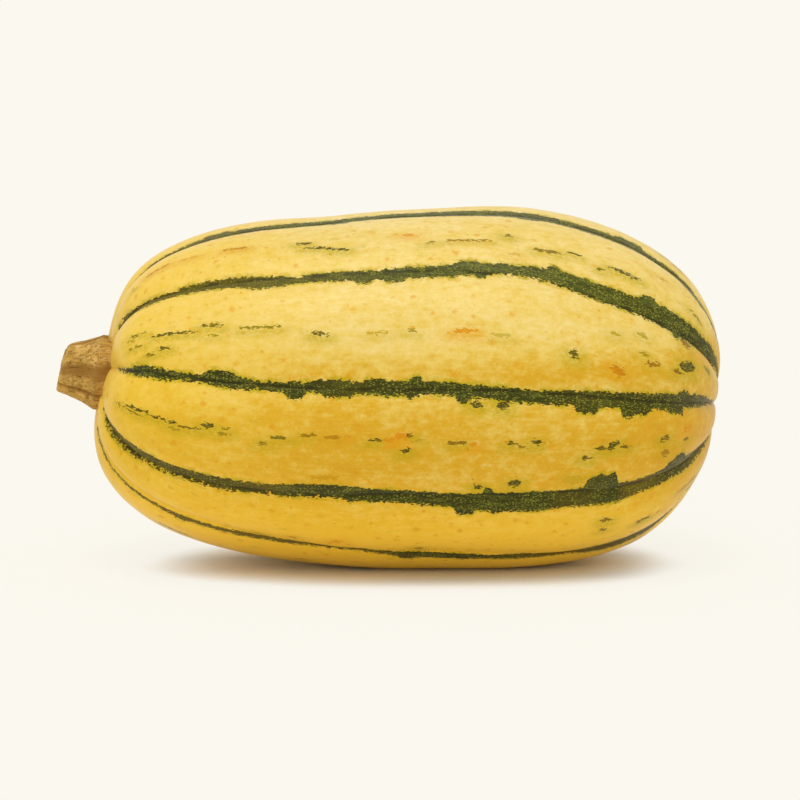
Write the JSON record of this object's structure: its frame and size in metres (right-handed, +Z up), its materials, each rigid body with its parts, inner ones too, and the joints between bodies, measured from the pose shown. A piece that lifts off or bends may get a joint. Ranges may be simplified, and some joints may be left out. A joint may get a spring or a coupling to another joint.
{
  "type": "delicata squash",
  "caption": "Whole oblong winter squash with shallow lengthwise ribs, lying on its side on a small flat spot, with its short woody stem stub.",
  "frame": {"origin": "under the middle of the squash's outer size, on the surface that it rests on", "axes": "+X along the length, from the stem end to the blossom end; +Z up; the ribbed side that turns most to a viewer faces -Y"},
  "size_m": [0.1692, 0.0922, 0.0917],
  "materials": {
    "rind": "waxy rind with a soft shine, yellow with dark green stripes in its furrows",
    "stem": "dry, corky and dull, light brown"
  },
  "bodies": {
    "root": {"squash_fruit": "rind", "stem": "stem"}
  },
  "joints": []
}
